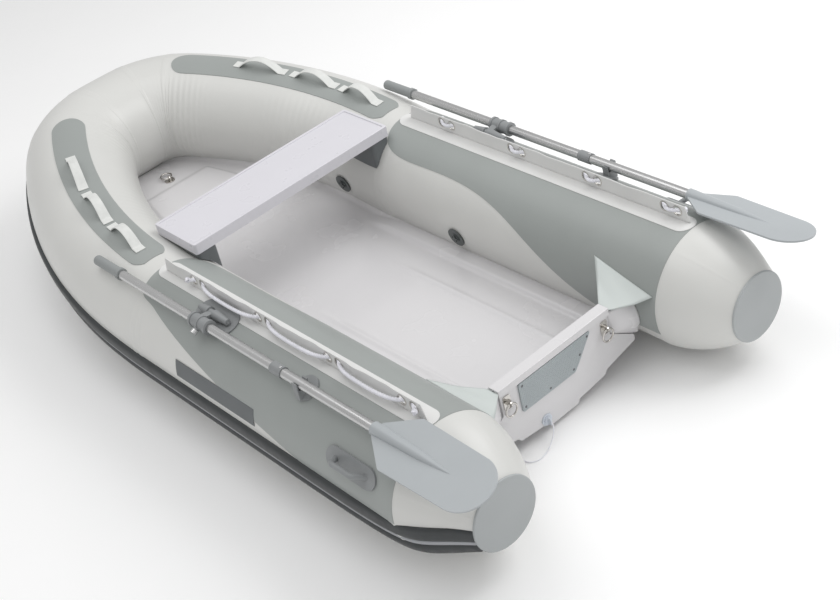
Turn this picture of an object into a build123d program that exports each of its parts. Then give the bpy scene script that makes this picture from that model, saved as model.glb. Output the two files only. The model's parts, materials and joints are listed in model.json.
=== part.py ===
from build123d import *
import math
import os

os.makedirs("parts", exist_ok=True)

# A rigid inflatable tender, millimetres. +X to the bow, +Y to port, +Z up.
# z = 0 is the ground under the keel strip, and x = 0 is midway between the oar blade tips and the bow.

# ---------------------------------------------------------------- driving sizes
transom_x = -969.0          # forward face of the transom board
tail_length = 323.0         # from the transom to the end cap plane
cone_length = 197.0         # tapered tail of each tube
boat_length = 2697.0        # end cap plane to the front of the rub strake
tube_radius = 190.0
half_gauge = 488.0          # tube centreline from the middle of the boat
tube_z = 200.0              # height of the tube centreline aft
rise_angle = 5.7            # the bow part of the tube points up
bend_radius = 1200.0        # where the tube starts to rise
bend_x = 91.0
shoulder_angle = 32.0
corner_radius = 238.0
bow_flat_half = 43.6
skin = 1.5                  # tube fabric
patch = 1.2                 # glued fabric layer
cap_radius = 100.0
cap_thickness = 6.0
strake_bulge = 22.0         # height of the lower rub strake rib
fit_gap = 0.3               # between curved faces of neighbouring pieces
run_gap = 0.05              # radial play of a pin in its bore

board = 30.0                # transom board thickness
transom_half = 210.0
transom_top = 246.0
cap_wall = 4.0
cap_depth = 18.0
keel_half = 45.0
keel_strip = 6.0
floor_z = 95.0
bow_floor_z = 145.0
laminate = 5.0
drain_y = 70.0
drain_z = 48.0
drain_hole = 10.0

seat_aft = transom_x + 1064.0
seat_width = 222.0
seat_half = 391.0
seat_thickness = 36.0
seat_top = 418.0
seat_wall = 5.0

loom_radius = 14.3          # oar shaft
oar_y = half_gauge + 108.0
oar_z = tube_z + 200.0
lock_angle = 73.0           # oarlock pivot, measured up from outboard around the tube
lock_height = 16.0          # pivot above the tube fabric
lock_x = transom_x + 752.0
grip_end_x = transom_x + 1309.0
grip_ring_x = transom_x + 1165.0
collar_front = transom_x + 778.0
collar_back = transom_x + 699.0
joint_x = transom_x + 390.0
clip_x = transom_x + 283.0
blade_root_x = transom_x - 22.0
blade_tip_x = transom_x - 436.0
blade_half = 85.0
blade_thickness = 5.0
blade_tilt = 14.0
pin_radius = 4.0

rail_front = transom_x + 1098.0
rail_half = 37.0
flap_y = half_gauge + 8.0
flap_height = 48.0
flap_thickness = 3.0
grommet_xs = [transom_x + d for d in (886.0, 568.0, 256.0, -43.0)]
grommet_pitch = 46.0
grommet_hole = 13.0
grommet_rim = 16.8
grommet_thickness = 0.8
rope_angle = 40.0           # slope of the rope as it passes through the flap
rope_stand = 17.0           # how far the long stretches stand outboard of the flap
rope_radius = 5.25
rope_tail = 12.0            # from the outermost holes along the flap to the end knots
knot_radius = 8.0
knot_length = 10.0

# ---------------------------------------------------------------- frames along the tube
rise = math.radians(rise_angle)
cone_front = transom_x - tail_length + cone_length
cap_plane = transom_x - tail_length
shoulder_drop = half_gauge - bow_flat_half - corner_radius * math.cos(math.radians(shoulder_angle))
shoulder_radius = shoulder_drop / (1 - math.cos(math.radians(shoulder_angle)))
up_slope = Vector(math.cos(rise), 0, math.sin(rise))
up_normal = Vector(-math.sin(rise), 0, math.cos(rise))

aft_end = Vector(cone_front, half_gauge, tube_z)
bend_start = Vector(bend_x, half_gauge, tube_z)
bend_end = bend_start + Vector(bend_radius * math.sin(rise), 0, bend_radius * (1 - math.cos(rise)))
tip_x = cap_plane + boat_length - strake_bulge - tube_radius
arc_run = shoulder_radius * math.sin(math.radians(shoulder_angle)) + corner_radius * (
    1 - math.sin(math.radians(shoulder_angle)))
incline = (tip_x - bend_end.X) / math.cos(rise) - arc_run
shoulder_start = bend_end + up_slope * incline


def bow_point(angle):
    """Centreline point, travel direction and outboard direction at a heading turned inboard by angle."""
    turn = math.radians(min(angle, shoulder_angle))
    centre = shoulder_start + Vector(0, -shoulder_radius, 0)
    along, across = math.sin(turn) * shoulder_radius, math.cos(turn) * shoulder_radius
    if angle > shoulder_angle:
        turn = math.radians(angle)
        limit = math.radians(shoulder_angle)
        along += corner_radius * (math.sin(turn) - math.sin(limit))
        across += corner_radius * (math.cos(turn) - math.cos(limit))
    point = centre + up_slope * along + Vector(0, across, 0)
    travel = up_slope * math.cos(turn) + Vector(0, -math.sin(turn), 0)
    outboard = up_slope * math.sin(turn) + Vector(0, math.cos(turn), 0)
    return point, travel, outboard


def section(point, travel, outboard):
    return Plane(origin=point, x_dir=outboard, z_dir=travel)


port_side = Vector(0, 1, 0)
forward = Vector(1, 0, 0)
corner_start = bow_point(shoulder_angle)
flat_start = bow_point(90)
aft_plane = section(aft_end, forward, port_side)
# Each run: the plane it starts on, then its length, or its turning axis and angle.
runs = {
    "aft": (aft_plane, bend_x - cone_front, None, None),
    "bend": (section(bend_start, forward, port_side), None,
             Axis(bend_start + Vector(0, 0, bend_radius), (0, -1, 0)), rise_angle),
    "incline": (section(bend_end, up_slope, port_side), incline, None, None),
    "shoulder": (section(shoulder_start, up_slope, port_side), None,
                 Axis(shoulder_start - Vector(0, shoulder_radius, 0), -up_normal), shoulder_angle),
    "corner": (section(*corner_start), None,
               Axis(corner_start[0] - corner_start[2] * corner_radius, -up_normal), 90 - shoulder_angle),
    "flat": (section(*flat_start), bow_flat_half, None, None),
}
bow_runs = ["bend", "incline", "shoulder", "corner", "flat"]


def ring(inner, outer, low=None, high=None):
    """Cross-section of a layer on the tube, whole or between two angles up from outboard."""
    if low is None:
        Circle(outer)
        Circle(inner, mode=Mode.SUBTRACT)
        return
    with BuildLine() as outline:
        inside = CenterArc((0, 0), inner, low, high - low)
        outside = CenterArc((0, 0), outer, low, high - low)
        Line(inside @ 0, outside @ 0)
        Line(inside @ 1, outside @ 1)
    make_face(outline.edges())


def along(names, *profile):
    """The layer carried along some runs of the port half of the tube."""
    with BuildPart() as layer:
        for name in names:
            start, length, axis, angle = runs[name]
            with BuildSketch(start):
                ring(*profile)
            if axis is None:
                extrude(amount=length)
            else:
                revolve(axis=axis, revolution_arc=angle)
    return layer.part


def both_sides(part):
    """A port piece and its starboard twin."""
    with BuildPart() as pair:
        add(part)
        mirror(part, about=Plane.XZ)
    return pair.part


def starboard(part):
    with BuildPart() as twin:
        mirror(part, about=Plane.XZ, mode=Mode.ADD)
    return twin.part


def save(part, name):
    """Labels a finished piece and writes its STEP file."""
    part.label = name
    export_step(part, f"parts/{name}.step")


def tube_plane(x, angle, height=0.0, side=1):
    """Plane on the straight aft tube at x: z_dir points straight out, x_dir points forward."""
    lift = math.radians(angle)
    out = Vector(0, math.cos(lift), math.sin(lift))
    centre = Vector(x, half_gauge, tube_z) + out * (tube_radius + height)
    flip = Vector(centre.X, side * centre.Y, centre.Z)
    return Plane(origin=flip, x_dir=(1, 0, 0), z_dir=(0, side * out.Y, out.Z))


# Solid tube, used to cut whatever leans on it.
def solid_tube(radius):
    with BuildPart() as solid:
        for name in ["aft"] + bow_runs:
            start, length, axis, angle = runs[name]
            with BuildSketch(start):
                Circle(radius)
            if axis is None:
                extrude(amount=length)
            else:
                revolve(axis=axis, revolution_arc=angle)
    return both_sides(solid.part)


tube_cut = solid_tube(tube_radius + fit_gap)

# ---------------------------------------------------------------- valves, one to each air chamber
valve_barrel = 18.0
valve_flange = 33.0
valve_depth = 25.0
aft_valve_x = transom_x + 700.0
bow_valve_turn = 2.1
valve_angle = 190.0         # just below the inboard side of the tube


def valve_plane(point, travel, outboard):
    lean = math.radians(valve_angle)
    up = travel.cross(outboard)
    out = outboard * math.cos(lean) + up * math.sin(lean)
    return Plane(origin=point + out * tube_radius, x_dir=travel, z_dir=out)


def to_starboard(plane):
    flip = Vector(plane.origin.X, -plane.origin.Y, plane.origin.Z)
    out = Vector(plane.z_dir.X, -plane.z_dir.Y, plane.z_dir.Z)
    run = Vector(plane.x_dir.X, -plane.x_dir.Y, plane.x_dir.Z)
    return Plane(origin=flip, x_dir=run, z_dir=out)


port_valve = valve_plane(Vector(aft_valve_x, half_gauge, tube_z), forward, port_side)
valves = {
    "port": port_valve,
    "starboard": to_starboard(port_valve),
    "bow": to_starboard(valve_plane(*bow_point(bow_valve_turn))),
}


def valve_hole(plane):
    with BuildPart() as hole:
        with BuildSketch(plane):
            Circle(valve_barrel + fit_gap)
        extrude(amount=valve_depth, both=True)
    return hole.part


# ---------------------------------------------------------------- air tube
with BuildPart() as port_tube:
    add(along(["aft"], tube_radius - skin, tube_radius))
    add(valve_hole(valves["port"]), mode=Mode.SUBTRACT)
save(port_tube.part, "port_tube")

with BuildPart() as starboard_tube:
    add(starboard(along(["aft"], tube_radius - skin, tube_radius)))
    add(valve_hole(valves["starboard"]), mode=Mode.SUBTRACT)
save(starboard_tube.part, "starboard_tube")

with BuildPart() as bow_tube:
    add(both_sides(along(bow_runs, tube_radius - skin, tube_radius)))
    add(valve_hole(valves["bow"]), mode=Mode.SUBTRACT)
save(bow_tube.part, "bow_tube")

with BuildPart() as baffle:
    with BuildSketch(runs["bend"][0]):
        Circle(tube_radius - skin - fit_gap)
    extrude(amount=-2)
save(both_sides(baffle.part), "chamber_baffles")

with BuildPart() as tail_cone:
    with BuildSketch(Plane(origin=aft_end, x_dir=(-1, 0, 0), z_dir=(0, -1, 0))):
        with BuildLine():
            Polyline((0, tube_radius - skin), (0, tube_radius), (cone_length, cap_radius),
                     (cone_length, cap_radius - skin), close=True)
        make_face()
    revolve(axis=Axis(aft_end, (1, 0, 0)))
save(both_sides(tail_cone.part), "tail_cones")

cap_centre = Vector(cap_plane, half_gauge, tube_z)
with BuildPart() as end_cap:
    with BuildSketch(Plane(origin=cap_centre, x_dir=(0, 1, 0), z_dir=(-1, 0, 0))):
        Circle(cap_radius + 4)
    extrude(amount=cap_thickness)
    fillet(end_cap.edges().filter_by(GeomType.CIRCLE).group_by(Axis.X)[0], 2.5)
save(both_sides(end_cap.part), "end_caps")

# ---------------------------------------------------------------- rub strake round the whole boat
strake_low = -36.0
strake_high = -1.0
strake_base = 8.0
strake_ribs = [(-36.0, -22.0, strake_bulge), (-13.0, -3.0, 13.0)]
groove = (-22.0, -13.0)
strake_mid = (strake_low + strake_high) / 2
spread = tube_radius / cap_radius * 0.9


def tail_band(inner, outer, low, high):
    """The strake runs on over the cone and keeps its width, so its angles open out at the cap."""
    opened = [strake_mid + (angle - strake_mid) * spread for angle in (low, high)]
    with BuildPart() as band:
        with BuildSketch(aft_plane):
            ring(tube_radius + inner, tube_radius + outer, low, high)
        with BuildSketch(section(cap_centre, forward, port_side)):
            ring(cap_radius + inner, cap_radius + outer, *opened)
        loft(ruled=True)
    return band.part


with BuildPart() as cone_cut:
    with BuildSketch(aft_plane):
        Circle(tube_radius + fit_gap)
    with BuildSketch(section(cap_centre, forward, port_side)):
        Circle(cap_radius + fit_gap)
    loft()

with BuildPart() as strake:
    add(along(["aft"] + bow_runs, tube_radius, tube_radius + strake_base, strake_low, strake_high))
    add(tail_band(fit_gap, strake_base, strake_low, strake_high))
    for low, high, height in strake_ribs:
        add(along(["aft"] + bow_runs, tube_radius + strake_base - 1, tube_radius + height, low, high))
        add(tail_band(strake_base - 1, height, low, high))
    add(cone_cut.part, mode=Mode.SUBTRACT)
save(both_sides(strake.part), "rub_strake")

with BuildPart() as stripe:
    add(along(["aft"] + bow_runs, tube_radius + strake_base, tube_radius + strake_base + 2, *groove))
    add(tail_band(strake_base, strake_base + 2, *groove))
save(both_sides(stripe.part), "strake_stripe")

# ---------------------------------------------------------------- grey overlay panels on the aft tubes
panel_front = bend_x + 40.0
with BuildPart() as side_panel:
    add(along(["aft", "bend"], tube_radius, tube_radius + patch, strake_high + 0.2, 200))
    # Outboard the lower edge climbs forward from the strake, then curves round to the top.
    with BuildSketch(Plane(origin=(0, half_gauge, 0), x_dir=(1, 0, 0), z_dir=(0, -1, 0))):
        with BuildLine():
            low_point = (transom_x + 264, tube_z - 2)
            Line(low_point, (transom_x + 987, tube_z + 147))
            Spline((transom_x + 987, tube_z + 147), (panel_front - 8, tube_z + 176),
                   (panel_front, tube_z + tube_radius + 20), tangents=[(4, 1), (0.1, 1)])
            Polyline((panel_front, tube_z + tube_radius + 20), (bend_x + 400, tube_z + tube_radius + 20),
                     (bend_x + 400, tube_z - 60), (transom_x + 264, tube_z - 60), low_point)
        make_face()
    extrude(amount=-(tube_radius + 30), mode=Mode.SUBTRACT)
    # Inboard it sweeps down to the transom.
    with BuildSketch(Plane(origin=(0, half_gauge, 0), x_dir=(1, 0, 0), z_dir=(0, -1, 0))):
        with BuildLine():
            Spline((transom_x - 80, tube_z - 100), (transom_x + 150, tube_z - 48),
                   (transom_x + 470, tube_z + 98), (transom_x + 880, tube_z + 139),
                   (panel_front - 12, tube_z + 176), (panel_front, tube_z + tube_radius + 20),
                   tangents=[(1, 0), (0.1, 1)])
            Polyline((panel_front, tube_z + tube_radius + 20), (bend_x + 400, tube_z + tube_radius + 20),
                     (bend_x + 400, tube_z - 100), (transom_x - 80, tube_z - 100))
        make_face()
    extrude(amount=tube_radius + 30, mode=Mode.SUBTRACT)
save(both_sides(side_panel.part), "side_panels")

# ---------------------------------------------------------------- bow pads and grab handles
pad_half = 58.0
pad_thickness = 2.0
pad_end_turn = 31.0
pad_start_turn = 0.6
shoulder_plane = Plane(origin=shoulder_start - Vector(0, shoulder_radius, 0), x_dir=up_slope, z_dir=up_normal)
with BuildPart() as bow_pad:
    add(along(["incline", "shoulder", "corner"], tube_radius, tube_radius + pad_thickness, 55, 125))
    with BuildSketch(shoulder_plane):
        with BuildLine(mode=Mode.PRIVATE):
            spine = CenterArc((0, 0), shoulder_radius - 4, 90 - pad_end_turn, pad_end_turn - pad_start_turn)
        SlotArc(spine, 2 * pad_half)
    extrude(amount=tube_radius + 60, mode=Mode.INTERSECT)
save(both_sides(bow_pad.part), "bow_pads")

strap_width = 34.0
strap_thickness = 3.0
strap_rise = 40.0
strap_foot = 26.0
strap_turns = [4.4, 12.0, 20.3]
strap_spans = [190.0, 205.0, 215.0]
with BuildPart() as grab_handle:
    for turn, span in zip(strap_turns, strap_spans):
        point, travel, outboard = bow_point(turn)
        up = travel.cross(outboard)
        seat_point = point + up * (tube_radius + pad_thickness)
        with BuildSketch(Plane(origin=seat_point, x_dir=travel, z_dir=-outboard)):
            half = span / 2
            with BuildLine():
                outer = Spline((-half + strap_foot, strap_thickness), (0, strap_rise),
                               (half - strap_foot, strap_thickness), tangents=[(1, 0.35), (1, -0.35)])
                Polyline(outer @ 1, (half, strap_thickness), (half, 0), (half - strap_foot + 4, 0))
                Spline((half - strap_foot + 4, 0), (0, strap_rise - strap_thickness),
                       (-half + strap_foot - 4, 0), tangents=[(-1, 0.35), (-1, -0.35)])
                Polyline((-half + strap_foot - 4, 0), (-half, 0), (-half, strap_thickness), outer @ 0)
            make_face()
        extrude(amount=strap_width / 2, both=True)
save(both_sides(grab_handle.part), "grab_handles")

# ---------------------------------------------------------------- lifeline rail on each tube
rail_low = 90 - math.degrees(rail_half / tube_radius)
rail_high = 90 + math.degrees(rail_half / tube_radius)
rail_thickness = 2.0
with BuildPart() as rail_base:
    rail_inner = tube_radius + patch
    add(along(["aft", "bend"], rail_inner, rail_inner + rail_thickness, rail_low, rail_high))
    with BuildSketch(Plane.XY.offset(tube_z)):
        with Locations(((rail_front + cone_front) / 2, half_gauge)):
            SlotOverall(rail_front - cone_front, 2 * rail_half)
    extrude(amount=tube_radius + 60, mode=Mode.INTERSECT)
save(both_sides(rail_base.part), "rail_bases")

flap_front = rail_front - 30.0
flap_back = cone_front + 18.0
flap_base = tube_z + tube_radius + patch + rail_thickness
grommet_z = flap_base + 27.0
hole_xs = [x + side * grommet_pitch / 2 for x in grommet_xs for side in (1, -1)]
with BuildPart() as rail_flap:
    with BuildSketch(Plane(origin=(0, flap_y, 0), x_dir=(1, 0, 0), z_dir=(0, -1, 0))):
        with BuildLine():
            Polyline((flap_back, flap_base - 0.05), (flap_back + 14, flap_base + flap_height),
                     (flap_front - 14, flap_base + flap_height), (flap_front, flap_base - 0.05), close=True)
        make_face()
        with Locations(*[(x, grommet_z) for x in hole_xs]):
            Circle(grommet_hole, mode=Mode.SUBTRACT)
    extrude(amount=flap_thickness / 2, both=True)
    add(tube_cut, mode=Mode.SUBTRACT)
    add(rail_base.part, mode=Mode.SUBTRACT)
save(both_sides(rail_flap.part), "rail_flaps")

with BuildPart() as grommets:
    for face in (1, -1):
        top = Plane(origin=(0, flap_y + face * flap_thickness / 2, 0), x_dir=(1, 0, 0), z_dir=(0, -1, 0))
        with BuildSketch(top):
            with Locations(*[(x, grommet_z) for x in hole_xs]):
                Circle(grommet_rim)
                Circle(grommet_hole, mode=Mode.SUBTRACT)
        extrude(amount=-face * grommet_thickness)
save(both_sides(grommets.part), "rail_grommets")

# The rope weaves through the holes: short stitches inboard, long runs outboard, a knot at each end.
weave_slope = math.tan(math.radians(rope_angle))
stitch_depth = grommet_pitch / 2 * weave_slope
clear_hole = rope_stand / weave_slope
weave = [(hole_xs[0] + rope_tail, rope_tail * weave_slope, 0.0)]
for index in range(0, len(hole_xs), 2):
    fore, aft = hole_xs[index], hole_xs[index + 1]
    if index:
        weave.append(((hole_xs[index - 1] + fore) / 2, rope_stand + 1.5, -7.0))
        weave.append((fore + clear_hole, rope_stand, 0.0))
    weave.append(((fore + aft) / 2, -stitch_depth, 0.0))
    if index < len(hole_xs) - 2:
        weave.append((aft - clear_hole, rope_stand, 0.0))
weave.append((hole_xs[-1] - rope_tail, rope_tail * weave_slope, 0.0))
rope_points = [Vector(x, flap_y + off, grommet_z + drop) for x, off, drop in weave]


def bend_radii(points):
    """Fillet radius at each inner point, from the shorter neighbouring run and the turn."""
    radii = []
    for before, here, after in zip(points, points[1:], points[2:]):
        a, b = here - before, after - here
        turn = a.get_angle(b)
        shorter = min(a.length, b.length)
        radii.append(round(min(0.45 * shorter / math.tan(math.radians(turn) / 2), 900), 2))
    return radii


def cord(points, radius, name):
    radii = bend_radii(points)
    with BuildPart() as tube:
        with BuildLine() as route:
            FilletPolyline(*points, radius=radii)
        start = Plane(origin=route.line @ 0, z_dir=route.line % 0)
        with BuildSketch(start):
            Circle(radius)
        sweep(path=route.wires()[0])
    length = sum(edge.length for edge in route.edges())
    print(name, "length", round(length, 1), "radii", radii,
          "volume ratio", round(tube.part.volume / (math.pi * radius ** 2 * length), 4))
    return tube.part


lifeline = cord(rope_points, rope_radius, "lifeline")
with BuildPart() as port_lifeline:
    add(lifeline)
    for end, inner in ((rope_points[0], rope_points[1]), (rope_points[-1], rope_points[-2])):
        with BuildSketch(Plane(origin=end, z_dir=end - inner)):
            Circle(knot_radius)
        extrude(amount=knot_length)
save(port_lifeline.part, "port_lifeline")
save(starboard(port_lifeline.part), "starboard_lifeline")

# ---------------------------------------------------------------- oarlocks
lock_lift = math.radians(lock_angle)
pivot = Vector(lock_x, half_gauge + (tube_radius + lock_height) * math.cos(lock_lift),
               tube_z + (tube_radius + lock_height) * math.sin(lock_lift))
yoke_half = 12.0
barrel_front = 62.0
barrel_back = 74.0
lock_top = tube_plane(lock_x, lock_angle, patch)
with BuildPart() as oarlock_base:
    with BuildSketch(lock_top.offset(-12)):
        with Locations((-8, 0)):
            SlotOverall(178, 92)
    extrude(amount=16)
    for reach, sign in ((barrel_front, 1), (barrel_back, -1)):
        inner = Plane(origin=pivot + Vector(sign * (yoke_half + 0.5), 0, 0), x_dir=(0, 1, 0),
                      z_dir=(sign, 0, 0))
        with BuildSketch(inner):
            Circle(16)
        with BuildSketch(inner.offset(reach - yoke_half)):
            Circle(9)
        loft()
        with BuildSketch(lock_top.offset(-8)):
            with Locations((sign * (yoke_half + 0.5 + (reach - yoke_half) / 2 - 4), 0)):
                Rectangle(reach - yoke_half - 8, 18)
        extrude(amount=18)
    with BuildSketch(Plane(origin=pivot - Vector(120, 0, 0), x_dir=(0, 1, 0), z_dir=(1, 0, 0))):
        Circle(pin_radius + fit_gap)
    extrude(amount=240, mode=Mode.SUBTRACT)
    # The yoke turns in the slot between the two barrels.
    with BuildSketch(Plane(origin=pivot, x_dir=(0, 1, 0), z_dir=(1, 0, 0))):
        Circle(12.5)
    extrude(amount=yoke_half + 0.5, both=True, mode=Mode.SUBTRACT)
    with BuildSketch(Plane(origin=aft_end - Vector(10, 0, 0), x_dir=(0, 1, 0), z_dir=(1, 0, 0))):
        Circle(tube_radius + patch + fit_gap)
    extrude(amount=2000, mode=Mode.SUBTRACT)
    add(rail_base.part, mode=Mode.SUBTRACT)
save(both_sides(oarlock_base.part), "oarlock_bases")

with BuildPart() as oarlock_pin:
    with BuildSketch(Plane(origin=pivot - Vector(barrel_back + 2, 0, 0), x_dir=(0, 1, 0), z_dir=(1, 0, 0))):
        Circle(pin_radius)
    extrude(amount=barrel_front + barrel_back + 4)
save(both_sides(oarlock_pin.part), "oarlock_pins")

collar_outer = 20.0
collar_mid = (collar_front + collar_back) / 2
knob_lean = math.radians(-20)
knob_dir = Vector(0, math.cos(knob_lean), math.sin(knob_lean))


def across(x, y=oar_y, z=oar_z):
    """Plane across the oar at x, facing forward."""
    return Plane(origin=(x, y, z), x_dir=(0, 1, 0), z_dir=(1, 0, 0))


with BuildPart() as swivel:
    with BuildSketch(across(collar_back)):
        Circle(collar_outer)
    extrude(amount=collar_front - collar_back)
    for x in (collar_back, collar_mid - 4, collar_front - 8):
        with BuildSketch(across(x)):
            Circle(collar_outer + 2.5)
        extrude(amount=8)
    # The arm reaches from the pin to the collar.
    with BuildSketch(across(lock_x - yoke_half, pivot.Y, pivot.Z)):
        Circle(11)
        with BuildLine():
            Polyline((0, -8), (0, 8), (oar_y - pivot.Y - 6, oar_z - pivot.Z + 11),
                     (oar_y - pivot.Y - 6, oar_z - pivot.Z - 7), close=True)
        make_face()
    extrude(amount=2 * yoke_half)
    with BuildSketch(Plane(origin=Vector(collar_mid, oar_y, oar_z) + knob_dir * 12, x_dir=(1, 0, 0),
                           z_dir=knob_dir)):
        Circle(8)
    extrude(amount=14)
    with BuildSketch(across(collar_back - 1)):
        Circle(loom_radius + run_gap)
    extrude(amount=collar_front - collar_back + 2, mode=Mode.SUBTRACT)
    with BuildSketch(across(lock_x - 40, pivot.Y, pivot.Z)):
        Circle(pin_radius + run_gap)
    extrude(amount=80, mode=Mode.SUBTRACT)
    with BuildSketch(Plane(origin=Vector(collar_mid, oar_y, oar_z) + knob_dir * 10, x_dir=(1, 0, 0),
                           z_dir=knob_dir)):
        Circle(3 + run_gap)
    extrude(amount=30, mode=Mode.SUBTRACT)
save(swivel.part, "port_oar_swivel")
save(starboard(swivel.part), "starboard_oar_swivel")

knob_base = Vector(collar_mid, oar_y, oar_z)
with BuildPart() as clamp_knob:
    with BuildSketch(Plane(origin=knob_base + knob_dir * (loom_radius + fit_gap), x_dir=(1, 0, 0),
                           z_dir=knob_dir)):
        Circle(3)
    extrude(amount=16)
    with BuildSketch(Plane(origin=knob_base + knob_dir * 26.6, x_dir=(1, 0, 0), z_dir=knob_dir)):
        Circle(10)
        with PolarLocations(10, 6):
            Circle(1.6, mode=Mode.SUBTRACT)
    extrude(amount=12)
    fillet(clamp_knob.edges().filter_by(GeomType.CIRCLE).sort_by(Axis(knob_base, knob_dir))[-1], 0.8)
save(clamp_knob.part, "port_clamp_knob")
save(starboard(clamp_knob.part), "starboard_clamp_knob")

# ---------------------------------------------------------------- oars
joint_length = 46.0
loom_wall = 1.5
sleeve_radius = 17.0
spine_length = 175.0
button_x = joint_x - 30
button_up = Plane(origin=(button_x, oar_y, oar_z), x_dir=(1, 0, 0), z_dir=(0, 0, 1))
with BuildPart() as loom:
    with BuildSketch(across(joint_x - 60)):
        Circle(loom_radius)
        Circle(loom_radius - loom_wall, mode=Mode.SUBTRACT)
    extrude(amount=grip_ring_x + 6 - joint_x + 60)
    with BuildSketch(across(joint_x - 61)):
        Circle(loom_radius + 1)
        Circle(loom_radius - loom_wall - 0.05, mode=Mode.SUBTRACT)
    extrude(amount=61, mode=Mode.SUBTRACT)
    for start, reach, play in ((joint_x - 60, 60, 0.1), (joint_x, 40, 0.0)):
        with BuildSketch(across(start)):
            Circle(loom_radius - loom_wall - play)
            Circle(loom_radius - 2 * loom_wall - 0.1, mode=Mode.SUBTRACT)
        extrude(amount=reach)
    with BuildSketch(button_up.offset(6)):
        Circle(4 + run_gap)
    extrude(amount=12, mode=Mode.SUBTRACT)
save(loom.part, "port_oar_loom")
save(starboard(loom.part), "starboard_oar_loom")

with BuildPart() as grip:
    with BuildSketch(across(grip_ring_x)):
        Circle(19)
    extrude(amount=14)
    with BuildSketch(across(grip_ring_x + 14)):
        Circle(16)
    extrude(amount=grip_end_x - grip_ring_x - 14)
    fillet(grip.edges().filter_by(GeomType.CIRCLE).sort_by(Axis.X)[-1], 7)
    with BuildSketch(across(grip_ring_x - 1)):
        Circle(loom_radius + run_gap)
    extrude(amount=8, mode=Mode.SUBTRACT)
save(grip.part, "port_oar_grip")
save(starboard(grip.part), "starboard_oar_grip")

with BuildPart() as shaft:
    with BuildSketch(across(blade_root_x - 60)):
        Circle(loom_radius)
        Circle(loom_radius - loom_wall, mode=Mode.SUBTRACT)
    extrude(amount=joint_x - blade_root_x + 60)
    with BuildSketch(button_up.offset(loom_radius - 4)):
        Circle(4 + run_gap)
    extrude(amount=12, mode=Mode.SUBTRACT)
save(shaft.part, "port_oar_shaft")
save(starboard(shaft.part), "starboard_oar_shaft")

with BuildPart() as sleeve:
    with BuildSketch(across(joint_x - joint_length + 8)):
        Circle(sleeve_radius)
        Circle(loom_radius + run_gap, mode=Mode.SUBTRACT)
    extrude(amount=joint_length)
    with BuildSketch(button_up.offset(loom_radius - 2)):
        Circle(4 + run_gap)
    extrude(amount=12, mode=Mode.SUBTRACT)
save(sleeve.part, "port_joint_sleeve")
save(starboard(sleeve.part), "starboard_joint_sleeve")

with BuildPart() as snap_button:
    with BuildSketch(button_up.offset(sleeve_radius + 2 - 9)):
        Circle(4)
    extrude(amount=9)
    fillet(snap_button.edges().filter_by(GeomType.CIRCLE).sort_by(Axis.Z)[-1], 1.5)
save(snap_button.part, "port_snap_button")
save(starboard(snap_button.part), "starboard_snap_button")

blade_plane = Plane(origin=(0, oar_y, oar_z), x_dir=(1, 0, 0),
                    z_dir=(0, math.sin(math.radians(blade_tilt)), math.cos(math.radians(blade_tilt))))
blade_end = blade_tip_x + 4
with BuildPart() as blade:
    with BuildSketch(blade_plane.offset(-blade_thickness / 2)):
        with BuildLine():
            Polyline((blade_root_x - 8, 20), (blade_root_x - 8, -20), (blade_root_x - 100, -blade_half))
            Line((blade_root_x - 100, -blade_half), (blade_end + 80, -blade_half + 5))
            ThreePointArc((blade_end + 80, -blade_half + 5), (blade_end, 0), (blade_end + 80, blade_half - 5))
            Line((blade_end + 80, blade_half - 5), (blade_root_x - 100, blade_half))
            Line((blade_root_x - 100, blade_half), (blade_root_x - 8, 20))
        make_face()
    extrude(amount=blade_thickness)
    fillet(blade.edges().filter_by(Axis(blade_plane.origin, blade_plane.z_dir)), 12)
    with BuildSketch(across(blade_root_x)):
        Circle(18.5)
    extrude(amount=-14)
    with BuildSketch(across(blade_root_x - 14)):
        Circle(18.5)
    with BuildSketch(across(blade_root_x - spine_length)):
        Circle(13)
    loft()
    with BuildSketch(across(blade_root_x - spine_length)):
        Circle(13)
    with BuildSketch(across(blade_root_x - spine_length - 110)):
        Circle(2.6)
    loft()
    with BuildSketch(across(blade_root_x + 1)):
        Circle(loom_radius + run_gap)
    extrude(amount=-62, mode=Mode.SUBTRACT)
save(blade.part, "port_oar_blade")
save(starboard(blade.part), "starboard_oar_blade")

# ---------------------------------------------------------------- oar clips, open upwards
clip_gap = 0.6
clip_wall = 4.0
clip_length = 20.0
clip_lean = 2.2             # the inboard lip leans away from the shaft, which swings in as it lifts
channel = loom_radius + clip_gap
clip_side = channel + clip_wall
foot_plane = tube_plane(clip_x, 62, patch)
with BuildPart() as clip_foot:
    with BuildSketch(foot_plane.offset(-12)):
        Circle(36)
    extrude(amount=17)
    with BuildSketch(Plane(origin=aft_end - Vector(10, 0, 0), x_dir=(0, 1, 0), z_dir=(1, 0, 0))):
        Circle(tube_radius + patch + fit_gap)
    extrude(amount=2000, mode=Mode.SUBTRACT)

with BuildPart() as clip_block:
    with BuildSketch(across(clip_x - clip_length / 2)):
        with BuildLine():
            Polyline((-clip_side, -channel), (-clip_side, -45), (clip_side, -45), (clip_side, -channel),
                     close=True)
        make_face()
    extrude(amount=clip_length)
    with BuildSketch(foot_plane.offset(5)):
        Rectangle(200, 200)
    extrude(amount=-200, mode=Mode.SUBTRACT)

with BuildPart() as clip_lip:
    with BuildSketch(across(clip_x - clip_length / 2)):
        with BuildLine():
            Polyline((channel, -channel), (clip_side, -channel), (clip_side, 10), (channel, 7), close=True)
        make_face()
        with BuildLine():
            Polyline((-channel, -channel), (-channel, 0), (-channel - clip_lean, 6),
                     (-clip_side - clip_lean, 8), (-clip_side, -10), (-clip_side, -channel), close=True)
        make_face()
    extrude(amount=clip_length)
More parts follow.
